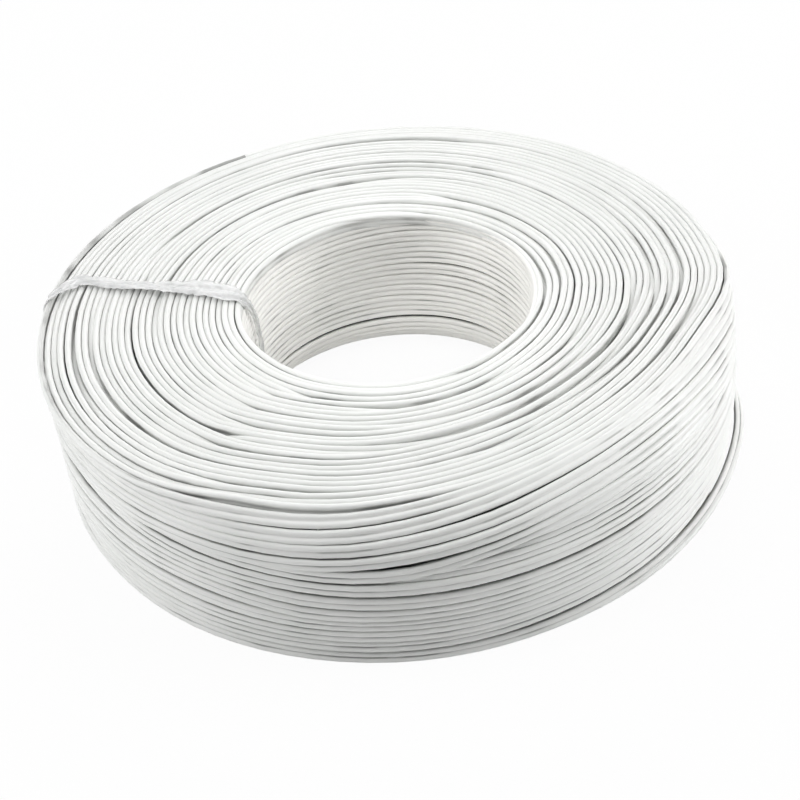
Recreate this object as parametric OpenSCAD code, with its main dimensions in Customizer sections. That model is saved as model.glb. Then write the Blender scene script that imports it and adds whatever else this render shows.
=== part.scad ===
// Free-standing coil of flat two-core cord, held by one strip of film.
// The coil lies flat on z = 0 and its axis is +Z.

/* [Cord] */
// Thickness of the cord, which is the diameter of one insulated core
cord_t = 2.1; // [1.6:0.1:2.6]
// Thickness of the web that joins the two cores
web_t = 0.9; // [0.6:0.1:1.2]
// Diameter of each stranded copper conductor
conductor_d = 1.2; // [0.8:0.05:1.3]
// Radial clearance between a conductor and its insulation
conductor_clearance = 0.03; // [0.02:0.01:0.05]
// Length of cord that springs straight at the outer cut end
end_len = 26; // [15:1:40]
// Length of bright conductor that stands out of the cut end
bare_len = 0.6; // [0.2:0.1:4]

/* [Coil] */
// Diameter of the hole through the middle
bore_d = 92; // [86:1:104]
// Diameter over the outer layer, where it lies round
coil_d = 219.4; // [212:0.2:226]
// Height of the coil
coil_h = 56; // [54:0.5:60]
// Radius of the rounded edges of the packed turns
edge_r = 2.5; // [1:0.5:4]
// Radius of the lower edge of the hole, where the turns have slipped outward
foot_r = 13; // [8:1:16]

/* [Outer turns] */
// Loops that lie on the top face
top_loops = 13; // [8:1:13]
// Gap between neighbouring loops on the top face
top_gap = 0.6; // [0.55:0.05:0.7]
// Least gap between neighbouring loops on the outer wall
wall_gap = 0.5; // [0.45:0.05:0.6]
// Where the outer turns start and end, counted from +X
start_angle = 115; // [100:5:130]
// How far the loose lowest turn stands off the wall
loose_rise = 2.8; // [0:0.2:4]
// Middle of the loose stretch, counted from +X
loose_angle = -12; // [-40:2:20]
// Gap between the outer turns and the packed turns under them
seat_gap = 0.3; // [0.3:0.05:0.4]

/* [Film tie] */
// Width of the crumpled film strip
tie_w = 6.5; // [4:0.5:10]
// Thickness of the crumpled film strip
tie_t = 0.8; // [0.6:0.1:1]
// Where the strip goes round the coil, counted from +X
tie_angle = 169; // [160:1:175]
// Clearance between the strip and the cord that it goes round
tie_clearance = 0.3; // [0.3:0.05:0.4]

/* [Hidden] */
// The two cores lie side by side, so the cord is twice as wide as it is thick
cord_w = 2 * cord_t;
core_shift = cord_t / 2;
bore_r = bore_d / 2;

// Pitches of the loops. Those of the wall fill it from the top edge down to the foot
top_pitch = cord_t + top_gap;
wall_drop = coil_h - cord_w;
wall_loops = floor(wall_drop / (cord_w + wall_gap));
wall_pitch = wall_drop / wall_loops;
top_z = coil_h - cord_w / 2;
loops = top_loops + wall_loops;

// Each loop has this many straight chords, and each chord is a ring of the tube
chords = 24;
ring_count = loops * chords;
chord_dip = cos(180 / chords);

// Radius of the cord's middle on the outer wall, and where the first loop starts
wall_r = coil_d / 2 - cord_t / 2;
start_r = wall_r - top_pitch * top_loops;

// The packed turns stay inside the outer turns
shelf_z = coil_h - cord_w - seat_gap;
packed_r = (wall_r - cord_t / 2) * chord_dip - seat_gap;

// Only the last loop of the wall is loose, over this much to each side of its middle
loose_half_angle = 62;

// The six corners of the flat cord in (outward, up): round edges cut to one slope each
corner_share = 0.3;
corner_cut = corner_share * cord_t;
section = [
    [0, cord_w / 2],
    [cord_t / 2, cord_w / 2 - corner_cut],
    [cord_t / 2, -cord_w / 2 + corner_cut],
    [0, -cord_w / 2],
    [-cord_t / 2, -cord_w / 2 + corner_cut],
    [-cord_t / 2, cord_w / 2 - corner_cut]
];
sides = len(section);

// Smooth step from 0 to 1
function ease(x) = x <= 0 ? 0 : x >= 1 ? 1 : x * x * (3 - 2 * x);

function angle_at(turn) = start_angle + 360 * turn;
function part_turn(turn) = turn - floor(turn);

// Smallest angle between two directions
function apart(a, b) = abs(((a - b) % 360 + 540) % 360 - 180);

// Loose stretch of the lowest loop, as a distance off the wall
function loose_off(turn) =
    loose_rise
    * ease(turn - loops + 1)
    * ease(1 - apart(angle_at(turn), loose_angle) / loose_half_angle);

// On the top the path spirals out. On the wall each loop steps down over its first half,
// outside the loop before it, and comes back to the wall over its second half.
function path_r(turn) =
    turn < top_loops
    ? start_r + top_pitch * turn
    : wall_r + top_pitch * (part_turn(turn) - ease(2 * part_turn(turn) - 1)) + loose_off(turn);

function path_z(turn) =
    turn < top_loops
    ? top_z
    : top_z - wall_pitch * (floor(turn) - top_loops + ease(2 * part_turn(turn)));

function outward(a) = [cos(a), sin(a), 0];
function along(a) = [-sin(a), cos(a), 0];

// Middle of the cord at a number of turns from the start
function path_at(turn) = path_r(turn) * outward(angle_at(turn)) + [0, 0, path_z(turn)];

// Corners of one ring, with the ring moved along the cord by a straight run
function ring_at(turn, run) = [
    for (p = section)
        path_at(turn) + p[0] * outward(angle_at(turn)) + [0, 0, p[1]] + run * along(angle_at(turn))
];

// Both ends run straight for one width of the cord
straight_run = cord_w;
rings = concat(
    [ring_at(0, -straight_run)],
    [for (i = [0 : ring_count]) ring_at(i / chords, 0)],
    [ring_at(loops, straight_run)]
);

// Least distance between the corners of the tube and those one loop further on
least_gap = min([
    for (i = [0 : len(rings) - chords - 2], step = [-1 : 1], a = rings[i], b = rings[i + chords + step])
        norm(a - b)
]);
echo(least_gap_between_loops_mm = least_gap);

// Outer end of the cord, as the point where the tube stops
end_angle = angle_at(loops);
end_point = path_at(loops) + straight_run * along(end_angle);

// Inner and outer line of the film strip, in (outward, up)
tie_in_r = bore_r + tie_clearance;
tie_turn = top_loops + part_turn((tie_angle - start_angle) / 360);
tie_out_r = path_r(tie_turn) + cord_t / 2 + tie_clearance;
tie_low_z = tie_clearance;
tie_high_z = coil_h + tie_clearance;
tie_corner_r = 3;

// Rectangle with round corners, between two opposite corners in (outward, up)
module rounded_box(low, high, r) {
    translate([low[0] + r, low[1]]) square([high[0] - low[0] - 2 * r, high[1] - low[1]]);
    translate([low[0], low[1] + r]) square([high[0] - low[0], high[1] - low[1] - 2 * r]);
    for (x = [low[0] + r, high[0] - r], y = [low[1] + r, high[1] - r])
        translate([x, y]) circle(r = r, $fn = 48);
}

// Rounded box whose corner at low is rounder than the others
module footed_box(low, high, r, foot) {
    difference() {
        rounded_box(low, high, r);
        corner_cutter(low, [1, 1], foot);
    }
}

// Flat band that goes round the section of the coil, as wide as width
module band(inset, thick, width) {
    low = [tie_in_r + inset, tie_low_z + inset];
    high = [tie_out_r - inset, tie_high_z - inset];
    foot = foot_r - tie_clearance - inset;
    rotate([0, 0, tie_angle])
        rotate([90, 0, 0])
            translate([0, 0, -width / 2])
                linear_extrude(height = width)
                    difference() {
                        footed_box(low, high + [thick, thick], tie_corner_r, foot);
                        footed_box(low + [thick, thick], high, tie_corner_r - thick, foot - thick);
                    }
}

// Section of the packed turns below the shelf, with both bottom edges round
module packed_section() {
    difference() {
        translate([bore_r, 0]) square([packed_r - bore_r, shelf_z]);
        corner_cutter([bore_r, 0], [1, 1], foot_r);
        corner_cutter([packed_r, 0], [-1, 1], edge_r);
    }
}

// What is cut off a corner to make it round, with the corner's two inward directions
module corner_cutter(corner, inward, r) {
    translate(corner)
        scale([inward[0], inward[1]])
            difference() {
                translate([-1, -1]) square(r + 1);
                translate([r, r]) circle(r = r, $fn = 48);
            }
}

// Top zone inside the first loop, whose edge follows that loop
module inner_zone() {
    edge = [
        for (i = [0 : chords])
            let (r = path_r(i / chords) - cord_t / 2 - seat_gap, a = angle_at(i / chords))
                [r * cos(a), r * sin(a)]
    ];
    translate([0, 0, shelf_z - 1]) linear_extrude(height = coil_h - shelf_z + 1) polygon(edge);
}

// Room for the straight start of the first loop, whose end meets the wall behind it
module start_pocket() {
    rotate([0, 0, start_angle])
        translate([start_r - cord_t / 2 - seat_gap, -straight_run, shelf_z])
            cube([2 * top_pitch, straight_run + top_pitch, cord_w + 2 * seat_gap]);
}

module bore() {
    translate([0, 0, -1]) cylinder(r = bore_r, h = coil_h + 2, $fn = 180);
    translate([0, 0, coil_h])
        rotate_extrude($fn = 180) corner_cutter([bore_r, 0], [1, -1], edge_r);
}

// Inner layers of the coil, wound too tight to part from each other
module packed_turns() {
    color("gainsboro")
        difference() {
            union() {
                rotate_extrude($fn = 180) packed_section();
                inner_zone();
            }
            bore();
            start_pocket();
            band(-tie_clearance, tie_t + 2 * tie_clearance, tie_w + 2 * tie_clearance);
        }
}

// Outermost turns, as one unbroken tube from the top face to the foot of the wall
module outer_turns() {
    last = len(rings) - 1;
    points = [for (ring = rings, p = ring) p];
    skin = [
        for (i = [0 : last - 1], j = [0 : sides - 1], half = [0, 1])
            let (
                a = i * sides + j,
                b = i * sides + (j + 1) % sides,
                c = b + sides,
                d = a + sides
            )
                half == 0 ? [a, b, c] : [a, c, d]
    ];
    caps = [
        for (j = [1 : sides - 2], end = [0, 1])
            end == 0 ? [0, j + 1, j] : [last * sides, last * sides + j, last * sides + j + 1]
    ];
    color("white") polyhedron(points = points, faces = concat(skin, caps));
}

// Places a piece at the outer end of the cord, with +Z along the cord and +Y up the wall
module at_cord_end() {
    translate(end_point)
        rotate([0, 0, end_angle])
            rotate([-90, 0, 0])
                rotate([0, 0, 180])
                    children();
}

// The last stretch of insulation, with the bore of each core
module end_insulation() {
    color("white")
        at_cord_end()
            difference() {
                linear_extrude(height = end_len) {
                    for (y = [-core_shift, core_shift])
                        translate([0, y]) circle(d = cord_t, $fn = 48);
                    square([web_t, cord_w / 2], center = true);
                }
                for (y = [-core_shift, core_shift])
                    translate([0, y, -1])
                        cylinder(r = conductor_d / 2 + conductor_clearance, h = end_len + 2, $fn = 48);
            }
}

module conductor(y) {
    color("peru")
        at_cord_end()
            translate([0, y, 0])
                cylinder(d = conductor_d, h = end_len + bare_len, $fn = 48);
}

module conductor_upper() {
    conductor(core_shift);
}

module conductor_lower() {
    conductor(-core_shift);
}

// Strip of clear film drawn round the section of the coil
module film_tie() {
    color("whitesmoke") band(0, tie_t, tie_w);
}

packed_turns();
outer_turns();
end_insulation();
conductor_upper();
conductor_lower();
film_tie();
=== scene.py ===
"""Free-standing coil of white flat two-core cord, held by one crumpled strip of film."""

import math

import bpy
import numpy as np
from mathutils import Matrix, Vector


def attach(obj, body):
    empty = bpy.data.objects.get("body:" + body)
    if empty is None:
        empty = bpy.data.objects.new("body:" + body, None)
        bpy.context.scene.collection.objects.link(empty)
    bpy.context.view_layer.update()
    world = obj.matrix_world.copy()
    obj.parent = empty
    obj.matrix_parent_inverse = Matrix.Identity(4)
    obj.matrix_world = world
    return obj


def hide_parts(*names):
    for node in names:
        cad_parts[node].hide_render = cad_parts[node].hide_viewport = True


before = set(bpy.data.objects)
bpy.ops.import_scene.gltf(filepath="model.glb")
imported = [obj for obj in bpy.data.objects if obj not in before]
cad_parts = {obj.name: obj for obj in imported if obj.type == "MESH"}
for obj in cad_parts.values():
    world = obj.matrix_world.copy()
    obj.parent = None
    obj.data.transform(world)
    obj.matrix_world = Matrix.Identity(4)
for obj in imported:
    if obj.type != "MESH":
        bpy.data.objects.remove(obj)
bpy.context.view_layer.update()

MM = 0.001
TAU = 2 * math.pi

# ---------------------------------------------------------------- sizes, in mm
COIL_H = 56.0
BORE_R = 46.0
# The lower edge of the hole is round, because its turns have slipped outward
FOOT_R = 13.0
# Radius at which the top face meets the outer wall
RIM_R = 107.75
# The flat cord, pulled tight: its thickness, its width, and half the thickness of its web
CORD_T = 1.95
CORD_W = 4.15
WEB_HALF = 0.4
# Radius of a core, and how far its middle lies from that of the cord
CORE_R = CORD_T / 2
CORE_SHIFT = CORD_W / 2 - CORE_R
# Clearances to the floor, to the hole and between neighbours, and the distance of two layers
FLOOR_GAP = 0.02
HOLE_GAP = 0.1
THIN_GAP = 0.05
LAYER_PITCH = CORD_T + 0.1
# Middle of the cord: radius in the hole, height in the top face and height at the foot
INNER_R = BORE_R + CORE_R + HOLE_GAP
TOP_SLACK = 0.3
Z_TOP = COIL_H - CORD_W / 2 - TOP_SLACK
Z_LOW = CORD_W / 2 + FLOOR_GAP
# Where the outer layer starts at the top and the cord is cut at the foot, counted from +X
SEAM_AZ = 115.0

# ---------------------------------------------------------------- camera
# Fitted to the photograph: lengths in mm, angles in radians, and what is named so in pixels
PHOTO_PX = 800
FOCAL_PX = 1822.5
SENSOR_MM = 36.0
CAMERA_DISTANCE = 590.4
CAMERA_ELEVATION = 0.637
CAMERA_ROLL = -0.0995
# Where the photograph shows the middle of the coil
CENTRE_PX = (393.2, 363.7)


def make_camera():
    """The camera stands in front of the coil, looks down at it and is turned a little."""
    tilt, roll = CAMERA_ELEVATION, CAMERA_ROLL
    look = Vector((0, math.cos(tilt), -math.sin(tilt)))
    right = Vector((1, 0, 0))
    up = Vector((0, math.sin(tilt), math.cos(tilt)))
    x_axis = math.cos(roll) * right + math.sin(roll) * up
    y_axis = math.cos(roll) * up - math.sin(roll) * right
    dx = (CENTRE_PX[0] - PHOTO_PX / 2) / FOCAL_PX
    dy = (PHOTO_PX / 2 - CENTRE_PX[1]) / FOCAL_PX
    ahead = (look - dx * x_axis - dy * y_axis).normalized()
    x_axis = (x_axis - x_axis.dot(ahead) * ahead).normalized()
    y_axis = x_axis.cross(ahead)
    data = bpy.data.cameras.new("photo_camera")
    data.sensor_width = SENSOR_MM
    data.lens = FOCAL_PX / PHOTO_PX * SENSOR_MM
    data.clip_start, data.clip_end = 0.01, 20
    cam = bpy.data.objects.new("photo_camera", data)
    place = Vector((0, 0, COIL_H / 2)) - look * CAMERA_DISTANCE
    turn = Matrix((x_axis, y_axis, -ahead)).transposed().to_4x4()
    cam.matrix_world = Matrix.Translation(place * MM) @ turn
    bpy.context.collection.objects.link(cam)
    bpy.context.scene.camera = cam


make_camera()


# ---------------------------------------------------------------- helpers
def smooth(x):
    """Smooth step from 0 to 1."""
    x = np.clip(x, 0.0, 1.0)
    return x * x * (3 - 2 * x)


def ramp(x, start, end):
    """Smooth step from 0 at start to 1 at end, which may lie below it."""
    return smooth((x - start) / (end - start))


class Wander:
    """Smooth random line along the cord, the same on every run."""

    def __init__(self, seed, periods, sizes):
        rng = np.random.default_rng(seed)
        self.rates = [1.0 / p * rng.uniform(0.85, 1.15) for p in periods]
        self.sizes = sizes
        self.starts = rng.uniform(0, TAU, len(periods))

    def __call__(self, turns):
        waves = [
            size * np.sin(TAU * rate * turns + start)
            for rate, size, start in zip(self.rates, self.sizes, self.starts)
        ]
        return np.sum(waves, axis=0)


def apart(a, b):
    """Signed angle from b to a, in degrees, from -180 to 180."""
    return (np.asarray(a) - b + 180) % 360 - 180


def hump(offset, half, steep=1.6):
    """Smooth rise to 1 and fall back to 0, within half to either side of offset 0."""
    return smooth(steep * (1 - np.abs(offset) / half))


def spline(x, xs, ys):
    """Smooth line through the points (xs, ys), read at x."""
    xs, ys = np.asarray(xs, float), np.asarray(ys, float)
    slope = np.gradient(ys, xs)
    i = np.clip(np.searchsorted(xs, x, side="right") - 1, 0, len(xs) - 2)
    h = xs[i + 1] - xs[i]
    t = np.clip((x - xs[i]) / h, 0, 1)
    t2, t3 = t * t, t * t * t
    return (
        (2 * t3 - 3 * t2 + 1) * ys[i]
        + (t3 - 2 * t2 + t) * h * slope[i]
        + (3 * t2 - 2 * t3) * ys[i + 1]
        + (t3 - t2) * h * slope[i + 1]
    )


# ---------------------------------------------------------------- the outer wall
# The outer layer as it lies: height of each turn's middle at these azimuths, foot first.
WALL_AZ = (180, 195, 210, 223, 236, 244, 252, 260, 269, 279, 295, 310, 325, 340, 352)
WALL_Z = (
    (2.6, 2.5, 2.4, 2.4, 2.4, 2.4, 2.4, 2.4, 2.35, 2.3, 2.2, 2.2, 2.15, 2.1, 2.1),
    (7.0, 7.5, 7.8, 7.7, 7.4, 7.3, 7.2, 7.1, 7.1, 7.4, 8.6, 9.0, 9.4, 8.8, 7.4),
    (11.8, 12.9, 13.5, 13.1, 12.5, 12.2, 12.0, 11.8, 11.7, 11.9, 12.9, 13.3, 13.7, 13.1, 11.8),
    (16.8, 18.4, 19.2, 18.7, 18.1, 17.5, 16.8, 16.3, 16.1, 16.2, 17.2, 17.6, 18.0, 17.5, 16.2),
    (22.0, 24.0, 25.0, 24.3, 23.8, 22.8, 21.3, 20.7, 20.5, 20.5, 21.5, 21.9, 22.4, 21.9, 20.7),
    (27.4, 29.8, 30.9, 29.7, 28.5, 27.7, 26.2, 25.6, 25.4, 25.4, 26.0, 26.4, 26.8, 26.4, 25.4),
    (33.2, 35.6, 36.7, 34.9, 33.3, 32.5, 31.5, 30.9, 30.8, 30.9, 31.4, 32.0, 32.1, 31.6, 30.6),
    (37.2, 38.2, 38.6, 38.2, 37.3, 36.7, 36.0, 35.6, 36.6, 39.8, 44.2, 45.6, 44.5, 40.4, 35.8),
    (41.0, 40.5, 40.3, 40.3, 40.1, 39.7, 39.7, 40.6, 42.3, 44.5, 48.2, 49.6, 48.5, 44.6, 40.3),
    (44.9, 44.6, 44.6, 44.5, 44.2, 44.0, 44.0, 44.8, 46.5, 48.6, 52.2, 53.4, 52.3, 48.8, 44.8),
    (49.1, 48.9, 48.9, 48.8, 48.4, 48.2, 48.3, 49.1, 50.7, 52.9, 56.1, 57.1, 56.1, 52.9, 49.2),
    (53.4, 53.3, 53.2, 53.0, 52.6, 52.4, 52.5, 53.2, 54.8, 56.9, 59.5, 60.3, 59.4, 56.7, 53.6),
)
# How far each turn stands out from the barrel of the wall, at the same azimuths
WALL_OUT = {
    0: (2.6, 1.6, 0.4, 0.1, 0.0, 0.0, 0.0, 0.0, 0.0, 0.0, 0.0, 0.3, 1.4, 3.4, 5.6),
    1: (0.0, 0.0, 0.0, 0.0, 0.0, 0.0, 0.0, 0.0, -0.1, -0.2, -0.2, 0.0, 0.0, 0.2, 0.6),
    3: (0.0, 0.0, 0.0, 0.0, 0.0, 0.0, -0.2, -0.4, -0.5, -0.4, 0.0, 0.0, 0.0, 0.0, 0.0),
    6: (0.0, -0.3, -0.6, -0.3, 0.0, 0.0, 0.0, 0.2, 0.3, 0.4, 0.4, 0.3, 0.2, 0.0, 0.0),
    7: (-0.8, -1.8, -2.0, -1.5, -0.9, -0.4, 0.0, 0.1, 0.3, 0.4, 0.4, 0.3, 0.1, 0.0, 0.0),
    8: (0.3, 0.4, 0.5, 0.5, 0.4, 0.3, 0.3, 0.4, 0.4, 0.4, 0.5, 0.5, 0.3, 0.0, 0.0),
    9: (0.0, 0.0, 0.0, 0.0, 0.0, 0.0, 0.0, 0.0, 0.0, 0.1, 0.3, 0.3, 0.2, 0.0, 0.0),
    11: (1.6, 2.3, 2.2, 1.6, 0.8, 0.5, 0.3, 0.2, 0.0, 0.0, 0.0, 0.0, 0.0, 0.0, 0.0),
}
# Barrel of the wall: radius of the cord's middle at these heights
BARREL_Z = (0.0, 2.4, 7.0, 11.5, 16.0, 26.0, 36.0, 46.0, 51.0, 56.0)
BARREL_R = (105.4, 105.9, 106.5, 107.2, 107.8, 108.2, 108.2, 107.8, 107.4, 107.0)
WALL_TURNS = len(WALL_Z)
# At the seam its turns lie at even heights, from this far under the top face's down to the foot,
# and this far off the barrel
SEAM_UNDER = 0.9
SEAM_OUT = 0.3
# The side that faces the camera
FRONT_AZ = 270.0
# Radius of the cord's middle where it is cut, as in the CAD model, and the azimuth from which
# the lowest turn keeps to it
END_R = 108.65
HOME_AZ = 425.0
# Two turns of the layer beneath come out in a wedge between the turns 6 and 7: height of
# their middle there, and how deep they lie under the outer layer
WEDGE_AZ = (252, 260, 269, 279, 295, 310, 325, 340, 352, 365)
WEDGE_Z = {
    7: (33.8, 33.4, 34.2, 35.2, 35.8, 36.5, 36.4, 35.9, 33.3, 32.8),
    8: (38.0, 36.5, 36.6, 37.4, 40.1, 41.0, 40.6, 38.2, 36.4, 37.0),
}
WEDGE_UNDER = {
    7: (2.05, 1.9, 1.1, 0.1, 0.0, 0.0, 0.0, 0.1, 1.7, 2.05),
    8: (2.05, 2.05, 2.05, 1.7, 0.1, 0.0, 0.2, 1.8, 2.05, 2.05),
}
# A turn that changes its form where the next one starts does so within this part of a turn
TURN_CHANGE = 0.1
# The cord runs true up to the first of these parts of a turn from its end, and wavers past the
# second one
CALM_END = (0.05, 0.3)
# The lowest turn leans back where it is loose: azimuth, half width and lean, in degrees
LOOSE_AZ = 336.0
LOOSE_HALF = 46.0
LOOSE_LEAN = 36.0


def wall_tables():
    """Height and stand-off along the whole outer layer, by turns from its start at the top."""
    turns, heights, offs = [], [], []
    first, last = Z_TOP - SEAM_UNDER, Z_LOW
    for m in range(WALL_TURNS - 1, -1, -1):
        start = WALL_TURNS - 1 - m
        turns.append(start)
        heights.append(first + (last - first) * start / WALL_TURNS)
        offs.append(SEAM_OUT)
        for j, az in enumerate(WALL_AZ):
            turns.append(start + (az - SEAM_AZ) / 360)
            heights.append(WALL_Z[m][j])
            offs.append(WALL_OUT.get(m, (0.0,) * len(WALL_AZ))[j])
    for az in (HOME_AZ, SEAM_AZ + 360):
        turns.append(WALL_TURNS - 1 + (az - SEAM_AZ) / 360)
        heights.append(last)
        offs.append(END_R - np.interp(last, BARREL_Z, BARREL_R))
    return np.array(turns), np.array(heights), np.array(offs)


WALL_TABLE = wall_tables()
# The shoulder between wall and top is an arc of this radius, and starts at this height, where
# it is round. Elsewhere it would start past the top.
ROUND_R = 12.0
FLAT_Z = Z_TOP + CORD_W / 2
ROUND_FROM_Z = FLAT_Z - CORE_R - ROUND_R
SQUARE_FROM_Z = 56.7
# Azimuths over which it goes from square to round, on either side
ROUND_ON_AZ = (212, 250)
ROUND_OFF_AZ = (380, 335)
# The painted crease shade is made paler by these shares, for light that gets in: at the sides,
# which begin this far from the front in degrees, on the shoulder, which begins between these
# heights, and where the gap to the turn above is this wide. The most in all is PALEST.
SIDE_LIGHT = 0.4
SIDE_OFF = (30, 65)
SHOULDER_LIGHT = 0.6
SHOULDER_Z = (38, 46)
GAP_LIGHT = 0.35
GAP_ROOM = (0.4, 1.4)
PALEST = 0.75
# The gap over the loose turn is deep, and keeps out this share of that light, so its painted crease
# shade stays darker
LOOSE_DARK = 0.9
wall_z_noise = Wander(21, (0.11, 0.23, 0.41), (0.05, 0.08, 0.08))
wall_r_noise = Wander(23, (0.13, 0.27, 0.47), (0.05, 0.08, 0.1))
wall_roll_noise = Wander(25, (0.17, 0.39), (2.0, 2.5))


def arc_from(az):
    """Height at which the wall starts to round over. It is past the top where it is square."""
    a = (np.asarray(az) - SEAM_AZ) % 360 + SEAM_AZ
    round_share = ramp(a, *ROUND_ON_AZ) * ramp(a, *ROUND_OFF_AZ)
    return SQUARE_FROM_Z + (ROUND_FROM_Z - SQUARE_FROM_Z) * round_share


def round_over(az, along, under=0.0):
    """Inset, height and lean of a turn that lies this far up the wall, this deep under it."""
    start = arc_from(az)
    lean = np.clip((along - start) / ROUND_R, 0, math.pi / 2)
    flat = np.maximum(along - start - ROUND_R * math.pi / 2, 0)
    z = np.where(lean > 0, start + (ROUND_R - under) * np.sin(lean), along)
    return (ROUND_R - under) * (1 - np.cos(lean)) + flat, np.minimum(z, FLAT_Z - CORE_R - under), lean


def crease_light(az, along):
    """Share by which the painted crease shade is made paler, for light that gets into the creases at
    the sides and on the shoulder.
    """
    side = ramp(np.abs(apart(az, FRONT_AZ)), *SIDE_OFF)
    return SIDE_LIGHT * side + SHOULDER_LIGHT * ramp(along, *SHOULDER_Z) * (1 - side)


def wall_route(s):
    """Middle of the cord (r, azimuth in degrees, z), its roll and its painted shade on the outer
    layer.

    s is in turns from where the layer starts at the top. A shade above 0 paints the whole turn
    darker, up to 1 where no light reaches it. One below 0 makes its painted creases paler.
    """
    turns, heights, offs = WALL_TABLE
    az = SEAM_AZ + 360 * s
    waver = ramp(WALL_TURNS - s, *CALM_END)
    along = spline(s, turns, heights) + wall_z_noise(s) * waver
    inset, z, lean = round_over(az, along)
    r = np.interp(along, BARREL_Z, BARREL_R) + spline(s, turns, offs) - inset + wall_r_noise(s) * waver
    # The lowest turn comes away from the wall and leans back, no lower than the floor
    at_loose = hump(apart(az, LOOSE_AZ), LOOSE_HALF)
    loose = at_loose * ramp(s, WALL_TURNS - 1, WALL_TURNS - 1 + TURN_CHANGE)
    roll = wall_roll_noise(s) * waver * (1 - loose) + np.degrees(lean) + LOOSE_LEAN * loose
    low = CORE_SHIFT * np.cos(np.radians(LOOSE_LEAN * loose)) + CORE_R + FLOOR_GAP
    leant_low = CORE_SHIFT * math.cos(math.radians(LOOSE_LEAN)) + CORE_R
    z = np.maximum(z - loose * (Z_LOW - leant_low), low)
    above = spline(np.maximum(s - 1, 0), turns, heights)
    room = np.where(s > 1, above - spline(s, turns, heights) - CORD_W, 0)
    # Painted shade: creases paler where light gets in, and less so over the loose turn
    pale = np.minimum(crease_light(az, along) + GAP_LIGHT * ramp(room, *GAP_ROOM), PALEST)
    deep = at_loose * ramp(s, WALL_TURNS - 2 - TURN_CHANGE, WALL_TURNS - 2)
    return r, az, z, roll, -pale * (1 - LOOSE_DARK * deep)


second_z_noise = Wander(31, (0.19, 0.43), (0.1, 0.12))
second_r_noise = Wander(33, (0.19, 0.43), (0.05, 0.06))
# The layer under the outer one: where it starts, its turns, and how high it reaches
SECOND_AZ = 40.0
SECOND_TURNS = 11.6
SECOND_TOP = 50.6
# The wedge opens and closes over these many degrees at its ends
WEDGE_OPENS = 10
WEDGE_CLOSES = 15
# The turns above the wedge are moved up by this much, which fades out between these heights
WEDGE_PUSH = 3.0
PUSH_FADE_Z = (51, 46)
# Shares of a layer's depth between which a turn is painted into full shade, as it gets out of the
# light
IN_SHADE = (0.6, 1)


def second_route(s):
    """As wall_route, for the layer under the outer one, from its foot up.

    Two of its turns come out in the wedge that the outer layer leaves open, and those above
    them make room.
    """
    az = SECOND_AZ + 360 * s
    a = (az - SEAM_AZ) % 360 + SEAM_AZ
    row = np.floor(s)
    level = Z_LOW + (SECOND_TOP - Z_LOW) * s / SECOND_TURNS
    z = level + second_z_noise(s)
    under = 0 * s + LAYER_PITCH
    first, last = WEDGE_AZ[0], WEDGE_AZ[-1]
    wedge = ramp(a, first, first + WEDGE_OPENS) * ramp(a, last, last - WEDGE_CLOSES)
    for turn, heights in WEDGE_Z.items():
        share = np.where(row == turn, wedge, 0)
        z = z + share * (spline(a, WEDGE_AZ, heights) - z)
        under = under + share * (np.interp(a, WEDGE_AZ, WEDGE_UNDER[turn]) - LAYER_PITCH)
    push = np.where(row > max(WEDGE_Z), WEDGE_PUSH * wedge * ramp(level, *PUSH_FADE_Z), 0)
    z = np.maximum(z + push, Z_LOW)
    inset, height, lean = round_over(az, z, under)
    r = np.interp(z, BARREL_Z, BARREL_R) - under - inset + second_r_noise(s)
    # Painted shade: the turn is painted dark where it lies under the outer layer, and its creases
    # paler where light gets in
    in_shade = ramp(under / LAYER_PITCH, *IN_SHADE)
    return r, az, height, np.degrees(lean), in_shade - crease_light(az, z) * (1 - in_shade)


# ---------------------------------------------------------------- the two faces
# How deep a sunk turn lies, the share of its room that its neighbours take, and the rise of its
# wish over which it sinks
SINK_DEPTH = 4.2
SINK_CLOSE = 0.85
SINK_SOFT = 1.1
# Over this many turns at its two ends a spiral lies evenly, as its wish to sink is this low
END_CALM = 0.6
END_WISH = -6


class Face:
    """Turns that lie side by side on one face of the coil, as one spiral from the hole to the rim.

    At each azimuth some turns sink between their neighbours, which close over them: as many
    as it takes for the rest to fit between the hole and the rim. Those with the highest wish
    sink first.
    """

    STEPS = 96
    HALVINGS = 40

    def __init__(self, turns, inner_edge, outer_edge, wish, gap):
        u = np.arange(self.STEPS + 1) / self.STEPS
        s = np.arange(turns)[None, :] + u[:, None]
        wishes, gaps = wish(s), gap(s)
        edge = inner_edge(u) + u * (CORD_T + gaps[0, 0])
        room = outer_edge(u) - edge
        low, high = np.full(len(u), wishes.min() - 1), np.full(len(u), wishes.max() + 1)
        for _ in range(self.HALVINGS):
            level = (low + high) / 2
            width = CORD_T * (1 - SINK_CLOSE * smooth((wishes - level[:, None]) / SINK_SOFT))
            tight = (width + gaps).sum(axis=1) > room
            high = np.where(tight, level, high)
            low = np.where(tight, low, level)
        sunk = smooth((wishes - level[:, None]) / SINK_SOFT)
        step = CORD_T * (1 - SINK_CLOSE * sunk) + gaps
        r = edge[:, None] + np.cumsum(step, axis=1) - step / 2
        self.at = np.arange(turns * self.STEPS + 1) / self.STEPS
        self.r = np.append(r[:-1].T.ravel(), r[-1, -1])
        self.sunk = np.append(sunk[:-1].T.ravel(), sunk[-1, -1])

    def radius(self, s):
        return np.interp(s, self.at, self.r)

    def depth(self, s):
        return SINK_DEPTH * np.interp(s, self.at, self.sunk)


def bumps(s, marks, first_r, pitch):
    """Sum of smooth bumps on single turns of a spiral.

    Each mark is (radius, azimuth, half length in degrees, size), for the turn that passes there.
    """
    total = 0 * s
    for radius, az, half, size in marks:
        u = ((az - SEAM_AZ) % 360) / 360
        at = round((radius - first_r) / pitch - u) + u
        total = total + size * hump(s - at, half / 360)
    return total


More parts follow.
